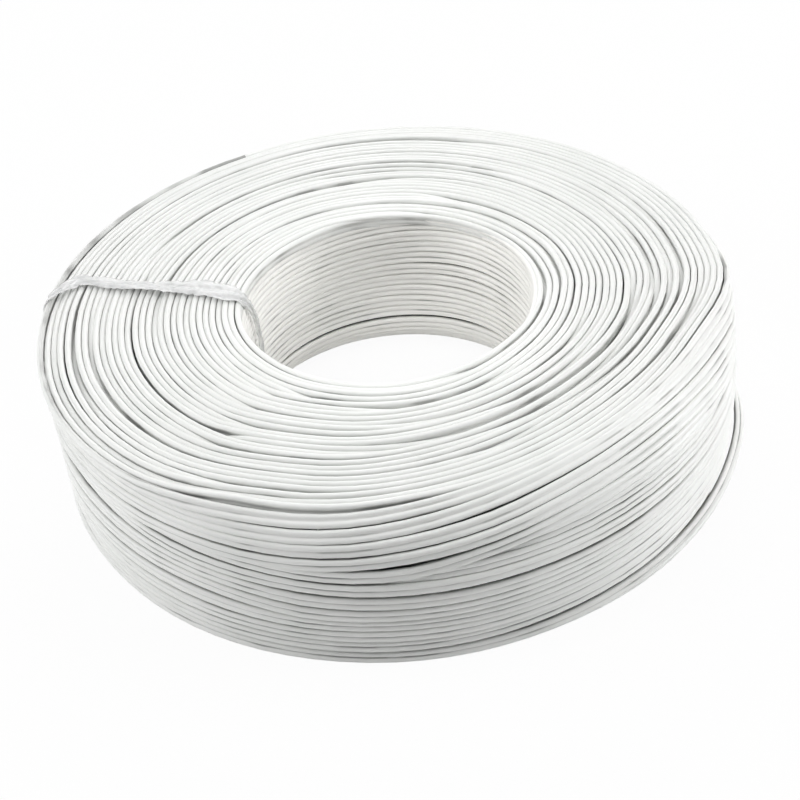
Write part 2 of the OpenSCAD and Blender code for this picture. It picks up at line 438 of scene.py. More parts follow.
# Gaps that stand out on the top face, in mm, and turns that wish to sink there for a stretch
TOP_GAPS = (
    (101.3, -155, 40, 0.45),
    (106.6, -160, 34, 0.3),
    (104.2, -167, 20, 0.25),
    (69.4, -150, 30, 0.15),
    (91.0, -145, 30, 0.15),
    (74.6, -140, 20, 0.1),
    (70.8, -8, 24, 0.3),
    (74.8, 0, 22, 0.2),
    (65.8, -12, 30, 0.3),
    (84.4, -2, 34, 0.2),
    (98.2, -8, 26, 0.3),
    (101.2, -2, 24, 0.2),
    (90.2, 10, 44, 0.15),
    (95.8, 34, 22, 0.15),
    (50.2, -28, 22, 0.25),
    (50.3, 10, 24, 0.2),
    (60.6, -22, 24, 0.2),
    (83.3, -45, 32, 0.2),
    (48.5, -155, 50, 1.5),
    (81.0, 75, 60, 0.15),
    (68.8, 90, 50, 0.15),
    (89.1, 90, 50, 0.15),
    (63.6, 72, 40, 0.1),
)
TOP_DEEP = (
    (79.8, -163, 42, 2.6),
    (102.6, -120, 36, 1.4),
    (78.0, 30, 40, 1.4),
    (86.5, 12, 30, 1.2),
)
TOP_TURNS = 32
# Distance between its turns on average, by which the marks above find their turn
TOP_PITCH = 1.9
# Along the first turn, in turns: where the cord begins and where it has come out of its neighbour
FORK = (-0.07, 0.03)
# The last turn goes over into the outer wall's first one within this part of a turn, and comes
# to lie above it between these parts of that turn
TOP_END = 0.35
ABOVE_WALL = (0.7, 1)
# The face lies this far under the flat of the coil, and comes to lie lower by RIM_DROP from the
# first to the second of these radii
TOP_UNDER = 0.35
RIM_DROP = 0.6
RIM_DROP_R = (101, 107)
# The painted crease shade is made paler by these shares, for light that gets in: TOP_LIGHT this
# many degrees away from the left, and RIM_LIGHT nearer to it, but only towards the rim, which
# begins between these radii
LEFT_AZ = 190.0
TOP_LIGHT = 0.45
TOP_LIGHT_OFF = (50, 110)
RIM_LIGHT = 0.6
RIM_LIGHT_OFF = (20, 40)
RIM_LIGHT_R = (102, 105)
# Depths between which a sunk turn is painted into full shade, as it gets out of the light, on the top
# face and the underside
TOP_DARK = (1.9, 4.1)
LOW_DARK = (1.6, 3.6)

top_wish_noise = Wander(41, (1.59, 1.73, 2.43, 0.73), (0.6, 0.6, 0.5, 0.45))
top_gap_noise = Wander(43, (0.67, 1.43, 0.29), (0.05, 0.05, 0.03))
top_level_noise = Wander(45, (1.31, 1.71, 0.73, 0.37), (0.15, 0.15, 0.12, 0.06))
top_roll_noise = Wander(47, (0.29, 0.47, 1.1), (2.0, 2.5, 2.0))


def top_rim(u):
    """Radius at which the top face meets the first turn of the outer wall."""
    r, _, _, roll, _ = wall_route(u)
    lean = np.radians(np.maximum(roll, 0))
    beside = r - CORE_R * np.cos(lean) - CORD_W / 2 * np.sin(lean) - THIN_GAP
    start_r = wall_route(np.zeros(1))[0][0]
    above = ramp(u, *ABOVE_WALL)
    return beside + above * (start_r + CORE_R - beside)


def calm_ends(s, turns):
    """0 at the two ends of a spiral, and 1 in between."""
    return smooth(s / END_CALM) * smooth((turns - s) / END_CALM)


# How far the first turn leans out over the hole, at these azimuths
HOLE_AZ = (115, 150, 180, 225, 270, 315, 350, 380, 420, 450, 475)
HOLE_LEAN = (0.8, 0.7, 0.5, 1.8, 1.3, 1.7, 0.2, 0.8, 2.0, 2.1, 0.8)


def hole_rim(u):
    """Radius of the edge of the hole, on the top face."""
    return INNER_R - CORE_R - spline(SEAM_AZ + 360 * u, HOLE_AZ, HOLE_LEAN)


TOP_FACE = Face(
    TOP_TURNS,
    hole_rim,
    top_rim,
    lambda s: top_wish_noise(s)
    + bumps(s, TOP_DEEP, INNER_R, TOP_PITCH)
    + END_WISH * (1 - calm_ends(s, TOP_TURNS)),
    lambda s: THIN_GAP
    + np.maximum(top_gap_noise(s), 0) * calm_ends(s, TOP_TURNS)
    + bumps(s, TOP_GAPS, INNER_R + CORE_R, TOP_PITCH) * calm_ends(s, TOP_TURNS),
)


def top_route(s):
    """As wall_route, for the top face, from the hole out to where the outer layer starts."""
    _, _, end_z, end_roll, _ = wall_route(np.zeros(1))
    # The first turn starts inside the end of the same turn and comes out of it
    out = ramp(s, *FORK)
    r = TOP_FACE.radius(np.maximum(s, 0)) * out + TOP_FACE.radius(s + 1) * (1 - out)
    az = SEAM_AZ + 360 * s
    # The rim follows the arc of the shoulder, and is a little lower where that is square
    past = np.clip(r - RIM_R + ROUND_R, 0, ROUND_R)
    arc = arc_from(az) + np.sqrt((ROUND_R + CORE_R) ** 2 - past**2)
    rim = np.minimum(FLAT_Z - RIM_DROP * ramp(r, *RIM_DROP_R), arc)
    depth = TOP_FACE.depth(s)
    z = rim - CORD_W / 2 + top_level_noise(s) - TOP_UNDER - depth
    end = ramp(s, TOP_TURNS - TOP_END, TOP_TURNS)
    z = z + (end_z - z) * end
    roll = top_roll_noise(s) * (1 - end) + end_roll * end
    # Painted shade: sunk turns painted dark, and creases paler away from the left and towards the rim
    off_left = np.abs(apart(az, LEFT_AZ))
    rim_light = RIM_LIGHT * ramp(r, *RIM_LIGHT_R) * ramp(off_left, *RIM_LIGHT_OFF)
    pale = np.maximum(TOP_LIGHT * ramp(off_left, *TOP_LIGHT_OFF), rim_light)
    dark = ramp(depth, *TOP_DARK)
    return r, az, np.minimum(z, Z_TOP + TOP_SLACK), roll, dark - pale * (1 - dark)


# ---------------------------------------------------------------- the inner wall
# The innermost layer: where it starts, its turns, and how far down each one goes
INNER_START_AZ = 250.0
INNER_TURNS = 13.1
INNER_LEAD = 4.33
# It starts this far below the height of the top face, and deeper until it has come out from
# under that, which it does between these parts of a turn
INNER_UNDER = 0.6
INNER_DIVE = SINK_DEPTH + 0.2
DIVE_OVER = (0.25, 0.08)
# At its start it stands back from the hole by this much, and comes forward in this part of a turn
INNER_BACK = 2.0
BACK_OVER = (0.1, 0)
# Place of the last turn, as a distance along the wall and round its foot
INNER_LAST = -3.6
# The upper turns are level, and step down at this azimuth within this part of a turn. Over these
# turns they come to have this share of an even slope, which is ahead by this part of a turn.
STEP_AZ = 38.0
STEP_LENGTH = 90.0 / 360
SLOPE_OVER = (1.8, 6.8)
SLOPE_SHARE = 0.85
SLOPE_AHEAD = 0.45
# Round this azimuth the turns at these heights are off their place by this slack, which opens
# the black gap
BLACK_GAP_AZ = 88.0
BLACK_GAP_HALF = 72.0
SLACK_Z = (2.8, 7.1, 11.5, 15.8, 53.6)
SLACK = (-0.3, -0.3, -0.4, 0.4, 0.0)
inner_r_noise = Wander(51, (0.37, 0.71, 0.19), (0.06, 0.06, 0.05))
inner_z_noise = Wander(53, (0.41, 0.23), (0.06, 0.04))
inner_roll_noise = Wander(55, (0.29, 0.47, 1.1), (2.0, 2.5, 2.0))


def round_foot(along, under=0.0):
    """Radius, height and roll of a turn this far up the wall of the hole, this deep under it."""
    lean = np.maximum(FOOT_R - along, 0) / (FOOT_R - CORE_R)
    reach = FOOT_R - CORE_R - HOLE_GAP - under
    r = BORE_R + FOOT_R - reach * np.cos(lean)
    z = np.where(along < FOOT_R, FOOT_R - reach * np.sin(lean), along)
    return r, np.maximum(z, CORE_SHIFT * np.cos(lean) + CORE_R + FLOOR_GAP), lean


def inner_route(s):
    """As wall_route, for the innermost layer, from under the top face down to the foot."""
    az = INNER_START_AZ + 360 * s
    since_step = s - ((STEP_AZ - INNER_START_AZ) % 360) / 360
    whole = np.floor(since_step)
    stepped = whole + smooth((since_step - whole) / STEP_LENGTH)
    level = 1 - SLOPE_SHARE * ramp(since_step, *SLOPE_OVER)
    drop = level * stepped + (1 - level) * (since_step + SLOPE_AHEAD)
    z = Z_TOP - INNER_UNDER - INNER_LEAD * np.maximum(drop, 0) - INNER_DIVE * ramp(s, *DIVE_OVER)
    # The slack goes by the height that the same turn has in the middle of the gap
    at_gap_z = z + INNER_LEAD * apart(az, BLACK_GAP_AZ) / 360 * (1 - level)
    near = hump(apart(az, BLACK_GAP_AZ), BLACK_GAP_HALF, steep=1.8)
    z = z + near * np.interp(at_gap_z, SLACK_Z, SLACK)
    r, z, lean = round_foot(np.maximum(z + inner_z_noise(s), INNER_LAST))
    r = r + inner_r_noise(s) + INNER_BACK * ramp(s, *BACK_OVER)
    return r, az, z, inner_roll_noise(s) + np.degrees(lean), 0 * s


# The layer behind the innermost one: where it starts, its turns, and how high it reaches
SECOND_INNER_AZ = 130.0
SECOND_INNER_TURNS = 11.0
SECOND_INNER_TOP = 47.8
second_inner_r_noise = Wander(57, (0.37, 0.71), (0.06, 0.06))


def second_inner_route(s):
    """As inner_route, for the layer behind the innermost one, from its foot up. All of it is painted
    in full shade.
    """
    along = Z_LOW + (SECOND_INNER_TOP - Z_LOW) * s / SECOND_INNER_TURNS
    r, z, lean = round_foot(along, LAYER_PITCH)
    # Painted shade: the whole layer is painted dark
    return r + second_inner_r_noise(s), SECOND_INNER_AZ + 360 * s, z, np.degrees(lean), 0 * s + 1


# ---------------------------------------------------------------- the underside
LOW_TURNS = 26
# Radius of its edges, at the foot of the hole and where its last turn starts
LOW_EDGE_R = BORE_R + FOOT_R - 0.8
LOW_RIM_R = 104.6
low_wish_noise = Wander(61, (1.59, 1.73, 2.43, 0.73), (0.6, 0.6, 0.5, 0.45))
low_gap_noise = Wander(63, (0.67, 1.43, 0.29), (0.06, 0.06, 0.04))
LOW_FACE = Face(
    LOW_TURNS,
    lambda u: LOW_EDGE_R + 0 * u,
    lambda u: LOW_RIM_R + u * (CORD_T + THIN_GAP),
    lambda s: low_wish_noise(s) + END_WISH * (1 - calm_ends(s, LOW_TURNS)),
    lambda s: THIN_GAP + np.maximum(low_gap_noise(s), 0) * calm_ends(s, LOW_TURNS),
)


def low_route(s):
    """As wall_route, for the underside, from the hole out to the rim."""
    depth = LOW_FACE.depth(s)
    # Painted shade: sunk turns are painted darker by their depth
    return LOW_FACE.radius(s), SEAM_AZ + 360 * s, Z_LOW + depth, 0 * s, ramp(depth, *LOW_DARK)


# ---------------------------------------------------------------- meshes of the cord
# Painted shade: a core is painted into the shade of its neighbours between these angles off its crest
CREASE_FROM = 66.0
CREASE_TO = 84.0
# Angle, from outward, at which the upper core comes out of the web
WEB_ANGLE = -46.0


def lobe_profile(upper, lower, dark, square=2.0, crest=0.0, groove=None):
    """Outline of the flat cord in (outward, up, shade): two cores joined by a web.

    upper and lower are the counts of points round each core. square is 2 for round cores, and
    more for flatter ones. crest is the direction, in degrees from outward, of the side that
    shows. The shade, painted into the colour, is 0 there, and dark where the neighbours touch
    and, unless groove is given, in the groove.
    """
    groove = dark if groove is None else groove
    points = []
    for side, count in ((1, upper), (-1, lower)):
        first = WEB_ANGLE if side == 1 else WEB_ANGLE + 180
        for j in range(count):
            angle = first + (180 - 2 * WEB_ANGLE) * j / (count - 1)
            a = math.radians(angle)
            x, y = (math.copysign(abs(v) ** (2 / square), v) for v in (math.cos(a), math.sin(a)))
            shade = dark * float(ramp(abs(apart(angle, crest)), CREASE_FROM, CREASE_TO))
            points.append((CORE_R * x, side * CORE_SHIFT + CORE_R * y, shade))
        points.append((-side * WEB_HALF, 0.0, groove))
    return np.array(points)


def rings_of(way, start, end, rings_per_turn):
    """Middle, outward direction, roll and painted shade of each ring along a run of turns."""
    rings = round((end - start) * rings_per_turn)
    r, az, z, roll, shade = way(np.linspace(start, end, rings + 1))
    a = np.radians(az)
    out = np.stack([np.cos(a), np.sin(a), np.zeros_like(a)], 1)
    mid = out * r[:, None] + np.stack([0 * z, 0 * z, z], 1)
    return mid, out, np.radians(roll), shade


def skin(mid, out, roll, ring_shade, outline):
    """Vertices, faces and painted shades of one closed length of cord through the given rings."""
    n, rings = len(outline), len(mid) - 1
    cos, sin = np.cos(roll)[:, None], np.sin(roll)[:, None]
    for_out = outline[None, :, 0] * cos - outline[None, :, 1] * sin
    for_up = outline[None, :, 0] * sin + outline[None, :, 1] * cos
    verts = mid[:, None, :] + for_out[:, :, None] * out[:, None, :]
    verts[:, :, 2] += for_up
    i = np.arange(rings)[:, None] * n
    j = np.arange(n)[None, :]
    jn = (j + 1) % n
    faces = np.stack([i + j, i + n + j, i + n + jn, i + jn], -1).reshape(-1, 4).tolist()
    verts = verts.reshape(-1, 3)
    # The two ends have corners of their own, so that they stay flat
    base = len(verts)
    faces.append(list(range(base, base + n)))
    faces.append(list(range(base + 2 * n - 1, base + n - 1, -1)))
    # Painted shade: the outline's crease shade, made paler or darker by that of each ring
    creases = outline[None, :, 2] * (1 + np.minimum(ring_shade, 0))[:, None]
    shade = np.maximum(creases, ring_shade[:, None]).ravel()
    verts = np.concatenate([verts, verts[:n], verts[-n:]])
    return verts, faces, np.concatenate([shade, np.zeros(2 * n)])


def add_mesh(name, verts, faces, material, shade=None, smooth_faces=True):
    """Object that rides on the one body, from vertices in mm."""
    mesh = bpy.data.meshes.new(name)
    mesh.from_pydata((np.asarray(verts) * MM).tolist(), [], faces)
    # The painted shade goes to the mesh as an attribute
    if shade is not None:
        crease_shade = mesh.attributes.new("crease_shade", "FLOAT", "POINT")
        crease_shade.data.foreach_set("value", shade.astype(np.float32))
    mesh.polygons.foreach_set("use_smooth", [smooth_faces] * len(mesh.polygons))
    mesh.materials.append(material)
    obj = bpy.data.objects.new(name, mesh)
    bpy.context.collection.objects.link(obj)
    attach(obj, "root")
    return obj


def add_turns(name, way, start, end, rings_per_turn, outline, material):
    """One length of cord along a route, from one count of turns to another."""
    verts, faces, shade = skin(*rings_of(way, start, end, rings_per_turn), outline)
    piece = add_mesh(name, verts, faces, material, shade)
    return piece


# ---------------------------------------------------------------- materials
def principled(name, colour, rough):
    mat = bpy.data.materials.new(name)
    mat.use_nodes = True
    tree = mat.node_tree
    shader = tree.nodes["Principled BSDF"]
    shader.inputs["Base Color"].default_value = (*colour, 1)
    shader.inputs["Roughness"].default_value = rough
    return mat, tree, shader


def add_noise(tree, where, scale, detail, distortion=0.0):
    """Noise in the space of the object. scale is in waves per metre."""
    noise = tree.nodes.new("ShaderNodeTexNoise")
    noise.inputs["Scale"].default_value = scale
    noise.inputs["Detail"].default_value = detail
    noise.inputs["Distortion"].default_value = distortion
    tree.links.new(where.outputs["Object"], noise.inputs["Vector"])
    return noise


def add_tint(tree, noise, first, last, first_at=0.0, last_at=1.0):
    """Colour that goes from first to last as the noise goes from first_at to last_at."""
    tint = tree.nodes.new("ShaderNodeValToRGB")
    low, high = tint.color_ramp.elements
    low.position = first_at
    low.color = (*first, 1)
    high.position = last_at
    high.color = (*last, 1)
    tree.links.new(noise.outputs["Fac"], tint.inputs["Fac"])
    return tint


def add_relief(tree, noise, shader, strength, distance):
    """Fine relief in the surface, up to a distance in metres."""
    bump = tree.nodes.new("ShaderNodeBump")
    bump.inputs["Strength"].default_value = strength
    bump.inputs["Distance"].default_value = distance
    tree.links.new(noise.outputs["Fac"], bump.inputs["Height"])
    tree.links.new(bump.outputs["Normal"], shader.inputs["Normal"])


# Painted shade: colour that the narrow creases between the cores are painted with, where no light gets
# in
CREASE_SHADE_COLOUR = (0.05, 0.05, 0.045)
# The painted crease shade varies at random, as the creases aren't equally tight everywhere: range of
# the noise, and powers of the shade there
TIGHT_NOISE = (0.38, 0.6)
TIGHT_POWER = (0.7, 2.4)


def cord_material(name, darker, lighter):
    """Satin PVC in a slightly uneven white, with the shade of each vertex painted in as a darker
    colour.
    """
    mat, tree, shader = principled(name, lighter, 0.42)
    nodes, links = tree.nodes, tree.links
    where = nodes.new("ShaderNodeTexCoord")
    cloud = add_noise(tree, where, scale=38.0, detail=3.0)
    tint = add_tint(tree, cloud, darker, lighter, 0.3, 0.7)
    crease_shade = nodes.new("ShaderNodeAttribute")
    crease_shade.attribute_name = "crease_shade"
    tight = add_noise(tree, where, scale=70.0, detail=1.0)
    power = nodes.new("ShaderNodeMapRange")
    power.inputs["From Min"].default_value = TIGHT_NOISE[0]
    power.inputs["From Max"].default_value = TIGHT_NOISE[1]
    power.inputs["To Min"].default_value = TIGHT_POWER[0]
    power.inputs["To Max"].default_value = TIGHT_POWER[1]
    depth = nodes.new("ShaderNodeMath")
    depth.operation = "POWER"
    links.new(tight.outputs["Fac"], power.inputs["Value"])
    links.new(crease_shade.outputs["Fac"], depth.inputs[0])
    links.new(power.outputs["Result"], depth.inputs[1])
    # Painted shade: the crease colour is mixed in by the shade of each vertex
    shaded = nodes.new("ShaderNodeMix")
    shaded.data_type = "RGBA"
    shaded.inputs["B"].default_value = (*CREASE_SHADE_COLOUR, 1)
    links.new(depth.outputs["Value"], shaded.inputs["Factor"])
    links.new(tint.outputs["Color"], shaded.inputs["A"])
    links.new(shaded.outputs["Result"], shader.inputs["Base Color"])
    grain = add_noise(tree, where, scale=900.0, detail=2.0)
    add_relief(tree, grain, shader, strength=0.12, distance=0.0002)
    return mat


def film_material():
    """Clear film, greyer where its fine relief is low and whiter where it is high."""
    mat, tree, shader = principled("crumpled_film", (0.92, 0.93, 0.93), 0.22)
    shader.inputs["Alpha"].default_value = 0.68
    shader.inputs["IOR"].default_value = 1.5
    where = tree.nodes.new("ShaderNodeTexCoord")
    streak = add_noise(tree, where, scale=260.0, detail=4.0, distortion=1.2)
    tint = add_tint(tree, streak, (0.80, 0.81, 0.81), (0.97, 0.97, 0.97), 0.35, 0.62)
    tree.links.new(tint.outputs["Color"], shader.inputs["Base Color"])
    add_relief(tree, streak, shader, strength=0.5, distance=0.0004)
    return mat


def copper_material():
    mat, tree, shader = principled("bright_copper", (0.86, 0.42, 0.25), 0.28)
    shader.inputs["Metallic"].default_value = 1.0
    where = tree.nodes.new("ShaderNodeTexCoord")
    stain = add_noise(tree, where, scale=1500.0, detail=2.0)
    tint = add_tint(tree, stain, (0.70, 0.31, 0.17), (0.93, 0.52, 0.34))
    tree.links.new(tint.outputs["Color"], shader.inputs["Base Color"])
    return mat


# Two copies of the same white PVC: the one for the wall of the hole is lighter, which paints in the
# light that the hole gets
WHITE = cord_material("white_pvc", (0.86, 0.87, 0.85), (0.90, 0.905, 0.89))
INNER_LIT_WHITE = cord_material("white_pvc_inner_lit", (0.965, 0.96, 0.93), (0.985, 0.98, 0.955))
FILM = film_material()
COPPER = copper_material()


# ---------------------------------------------------------------- the free end of the cord
# The cord with its shown side outward, inward, up and down, and where hardly any of it shows, each
# with its own strength of painted crease shade
OUTWARD = lobe_profile(13, 13, dark=0.8)
INWARD = lobe_profile(13, 13, dark=0.12, crest=180.0, groove=0.55)
UPWARD = lobe_profile(13, 5, dark=0.45, square=2.5, crest=90.0)
DOWNWARD = lobe_profile(5, 9, dark=0.6, square=2.2, crest=-90.0)
COARSE = lobe_profile(9, 9, dark=0.8)
# Rings per turn on the free end, the walls, the top face, and where the cord hardly shows
END_RINGS = 160
WALL_RINGS = 84
TOP_RINGS = 96
COARSE_RINGS = 60
# The outer layer's turn from which the cord is loose, and the length of its straight end
LOOSE_FROM = 11.514
END_RUN = 30.2
END_STEPS = 24


def free_end_rings():
    """The loose stretch of the lowest turn, then the straight stretch to the cut end."""
    mid, out, roll, shade = rings_of(wall_route, LOOSE_FROM, WALL_TURNS, END_RINGS)
    a = math.radians(SEAM_AZ)
    along = np.array([-math.sin(a), math.cos(a), 0])
    run = np.arange(1, END_STEPS + 1) / END_STEPS * END_RUN
    mid = np.concatenate([mid, mid[-1] + run[:, None] * along])
    out = np.concatenate([out, np.repeat(out[-1:], END_STEPS, axis=0)])
    roll = np.concatenate([roll, np.repeat(roll[-1:], END_STEPS)])
    shade = np.concatenate([shade, np.repeat(shade[-1:], END_STEPS)])
    return mid, out, roll, shade


def add_free_end():
    """The end of the cord as a cord of its own."""
    mid, out, roll, ring_shade = free_end_rings()
    verts, faces, shade = skin(mid, out, roll, ring_shade, OUTWARD)
    piece = add_mesh("cord_free_end", verts, faces, WHITE, shade)
    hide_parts("end_insulation")


add_free_end()

# ---------------------------------------------------------------- pieces of the winding
add_turns("turns_outer_wall", wall_route, 0, LOOSE_FROM, WALL_RINGS, OUTWARD, WHITE)
turns_top = add_turns("turns_top", top_route, FORK[0], TOP_TURNS, TOP_RINGS, UPWARD, WHITE)
add_turns("turns_inner_wall", inner_route, 0, INNER_TURNS, WALL_RINGS, INWARD, INNER_LIT_WHITE)
add_turns("turns_second_layer", second_route, 0, SECOND_TURNS, COARSE_RINGS, COARSE, WHITE)
add_turns("turns_second_inner", second_inner_route, 0, SECOND_INNER_TURNS, COARSE_RINGS, COARSE, WHITE)
add_turns("turns_underside", low_route, 0, LOW_TURNS, COARSE_RINGS, DOWNWARD, WHITE)

# Section of the heart, inside the layers: radius and height of its corners
HEART_LINE = (
    (BORE_R + 10.0, 8.5),
    (RIM_R - 4.0, 8.5),
    (RIM_R - 4.0, COIL_H - 11.0),
    (BORE_R + 4.4, COIL_H - 11.0),
    (BORE_R + 4.4, 16.0),
)
HEART_SIDES = 96


def add_heart():
    """Dark heart of the coil in place of the deeper turns, painted dark as their deep shade, which the
    gaps between the turns show.
    """
    n = len(HEART_LINE)
    verts = [
        (r * math.cos(TAU * i / HEART_SIDES), r * math.sin(TAU * i / HEART_SIDES), z)
        for i in range(HEART_SIDES)
        for r, z in HEART_LINE
    ]
    faces = []
    for i in range(HEART_SIDES):
        here, there = i * n, (i + 1) % HEART_SIDES * n
        faces += [[here + j, there + j, there + (j + 1) % n, here + (j + 1) % n] for j in range(n)]
    mat, _, _ = principled("inner_turns_painted_shade", (0.12, 0.12, 0.115), 0.8)
    heart = add_mesh("turns_heart", verts, faces, mat, smooth_faces=False)


add_heart()
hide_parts("packed_turns", "outer_turns")

# ---------------------------------------------------------------- the conductors at the cut end
# Rings of strands in a conductor: radius and count. Each strand goes round once in one lay.
STRAND_D = 0.24
STRAND_RINGS = ((0.0, 1), (0.24, 6), (0.468, 12))
STRAND_LAY = 16.0
STRAND_SIDES = 8
STRAND_STEPS = 30
# Along the straight end: where the strands start, and end just past the insulation
CONDUCTOR_RUN = (4.2, END_RUN + 0.6)


def add_strands(name, node, height):
    """Bunched copper wires of one core, from inside the insulation to just past its cut end."""
    a = math.radians(SEAM_AZ)
    out = Vector((math.cos(a), math.sin(a), 0))
    along = Vector((-math.sin(a), math.cos(a), 0))
    up = Vector((0, 0, 1))
    start = out * END_R + up * height
    verts, faces = [], []
    for radius, count in STRAND_RINGS:
        for k in range(count):
            base = len(verts)
            for i in range(STRAND_STEPS + 1):
                run = CONDUCTOR_RUN[0] + (CONDUCTOR_RUN[1] - CONDUCTOR_RUN[0]) * i / STRAND_STEPS
                turn = TAU * (k / count + run / STRAND_LAY)
                mid = start + along * run + radius * (math.cos(turn) * out + math.sin(turn) * up)
                for j in range(STRAND_SIDES):
                    b = TAU * j / STRAND_SIDES
                    verts.append(mid + STRAND_D / 2 * (math.cos(b) * out + math.sin(b) * up))
            for i in range(STRAND_STEPS):
                row = base + i * STRAND_SIDES
                for j in range(STRAND_SIDES):
                    p, q = row + j, row + (j + 1) % STRAND_SIDES
                    faces.append([p, q, q + STRAND_SIDES, p + STRAND_SIDES])
            last = base + STRAND_STEPS * STRAND_SIDES
            faces.append(list(range(base, base + STRAND_SIDES))[::-1])
            faces.append(list(range(last, last + STRAND_SIDES)))
    piece = add_mesh(name, verts, faces, COPPER)
    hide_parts(node)


add_strands("strands_upper", "conductor_upper", Z_LOW + CORE_SHIFT)
add_strands("strands_lower", "conductor_lower", Z_LOW - CORE_SHIFT)

# ---------------------------------------------------------------- the film tie
# Line of the strip round the section of the coil: radius, height and azimuth of its middle,
# half its width, and its twist in degrees
TIE_LINE = (
    (109.9, 28.0, 169.0, 2.6, 0),
    (110.1, 42.0, 170.0, 2.4, 8),
    (110.6, 51.0, 171.5, 2.2, 20),
    (109.6, 55.9, 172.0, 2.0, 10),
    (106.4, 56.7, 169.5, 2.2, 0),
    (101.0, 56.5, 166.4, 2.5, -8),
    (94.0, 56.4, 166.6, 2.3, 0),
    (86.0, 56.4, 167.4, 3.2, 8),
    (77.0, 56.6, 168.0, 3.2, 14),
    (70.0, 56.5, 167.6, 3.8, 8),
    (60.0, 56.4, 167.6, 4.3, 0),
    (52.0, 56.4, 170.2, 3.8, 0),
    (46.2, 56.3, 174.0, 2.3, -10),
    (44.5, 51.0, 170.0, 1.3, -35),
    (44.4, 43.0, 164.5, 0.9, -45),
    (44.5, 35.0, 162.5, 0.8, -40),
    (44.8, 26.0, 162.0, 0.9, -20),
    (45.2, 14.0, 161.5, 1.4, 0),
    (46.9, 6.1, 161.5, 1.8, 0),
    (51.8, 1.3, 162.0, 2.1, 0),
    (58.0, 0.12, 162.0, 2.4, 0),
    (76.0, 0.1, 162.0, 2.6, 0),
    (104.0, 0.12, 165.0, 2.6, 0),
    (109.2, 1.6, 167.0, 2.4, 0),
    (110.2, 8.0, 168.0, 2.4, 0),
    (109.9, 28.0, 169.0, 2.6, 0),
)
# Distance between its cross sections, points across each, half its thickness, depth of its folds
TIE_STEP = 0.7
TIE_ACROSS = 17
TIE_HALF_THICK = 0.04
TIE_FOLD = 0.5
# Weights that round off the corners of the line
TIE_SOFT = np.array([1, 3, 5, 6, 5, 3, 1]) / 24


def unit(vectors):
    return vectors / np.linalg.norm(vectors, axis=1)[:, None]


def folds(phase):
    """Sharp folds along the lines of equal phase, about as much up as down."""
    return np.abs(np.sin(phase)) - 0.6


def tie_sheet():
    """Points of the film's middle sheet, along and across it, and the direction of its face."""
    rows = np.array(TIE_LINE)
    a = np.radians(rows[:, 2])
    points = np.stack([rows[:, 0] * np.cos(a), rows[:, 0] * np.sin(a), rows[:, 1]], 1)
    knots = np.concatenate([[0], np.cumsum(np.linalg.norm(np.diff(points, axis=0), axis=1))])
    at = np.linspace(0, knots[-1], int(knots[-1] / TIE_STEP))
    mid = np.stack([np.interp(at, knots, points[:, i]) for i in range(3)], 1)
    half = np.interp(at, knots, rows[:, 3])
    twist = np.radians(np.interp(at, knots, rows[:, 4]))
    mid[3:-3] = np.stack([np.convolve(mid[:, i], TIE_SOFT, "valid") for i in range(3)], 1)
    ahead = unit(np.gradient(mid, axis=0))
    azimuth = np.arctan2(mid[:, 1], mid[:, 0])
    side = np.stack([-np.sin(azimuth), np.cos(azimuth), 0 * azimuth], 1)
    side = unit(side - (side * ahead).sum(1)[:, None] * ahead)
    off = np.cross(side, ahead)
    across = np.cos(twist)[:, None] * side + np.sin(twist)[:, None] * off
    lift = np.cross(across, ahead)
    # It is folded along its length, with finer folds askew, and its edges wave
    w = np.linspace(-1, 1, TIE_ACROSS)[None, :]
    t = at[:, None]
    edge = 1 + 0.1 * np.sin(0.9 * t + 2 * np.sin(0.31 * t)) * np.abs(w) + 0.06 * np.sin(2.3 * t)
    pleats = folds(3.3 * w + 1.2 * np.sin(0.13 * t) + 0.05 * t)
    askew = folds(1.9 * w + 0.42 * t + 1.5 * np.sin(0.17 * t))
    fine = folds(7.1 * w - 0.83 * t + np.sin(0.5 * t))
    # Beneath the coil it is pressed flat
    free = np.clip((mid[:, 2:3] - 0.4) / 2, 0, 1)
    crumple = TIE_FOLD * free * (pleats + 0.6 * askew + 0.3 * fine)
    sheet = mid[:, None, :] + across[:, None, :] * (half[:, None] * edge * w)[:, :, None]
    return sheet + lift[:, None, :] * crumple[:, :, None], lift


def add_film_tie():
    """Strip of thin film drawn round the section of the coil and crumpled along its length."""
    sheet, lift = tie_sheet()
    n, m = sheet.shape[:2]
    thick = lift[:, None, :] * TIE_HALF_THICK
    verts = np.concatenate([(sheet + thick).reshape(-1, 3), (sheet - thick).reshape(-1, 3)])
    verts[:, 2] = np.maximum(verts[:, 2], FLOOR_GAP)
    back = n * m
    faces = []
    for i in range(n - 1):
        for j in range(m - 1):
            p = i * m + j
            faces.append([p, p + 1, p + m + 1, p + m])
            faces.append([back + p, back + p + m, back + p + m + 1, back + p + 1])
        for j in (0, m - 1):
            p = i * m + j
            quad = [p, p + m, back + p + m, back + p]
            faces.append(quad if j == 0 else quad[::-1])
    piece = add_mesh("film_strip", verts, faces, FILM)
    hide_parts("film_tie")


add_film_tie()


# ---------------------------------------------------------------- floor and light
# Half the side of the floor in metres, and the share of plain white that the camera sees on it
FLOOR_HALF = 6.0
FLOOR_GLOW = 0.95
# Strength of the white surroundings as a lamp. The camera sees them at full strength.
WORLD_LEVEL = 0.03
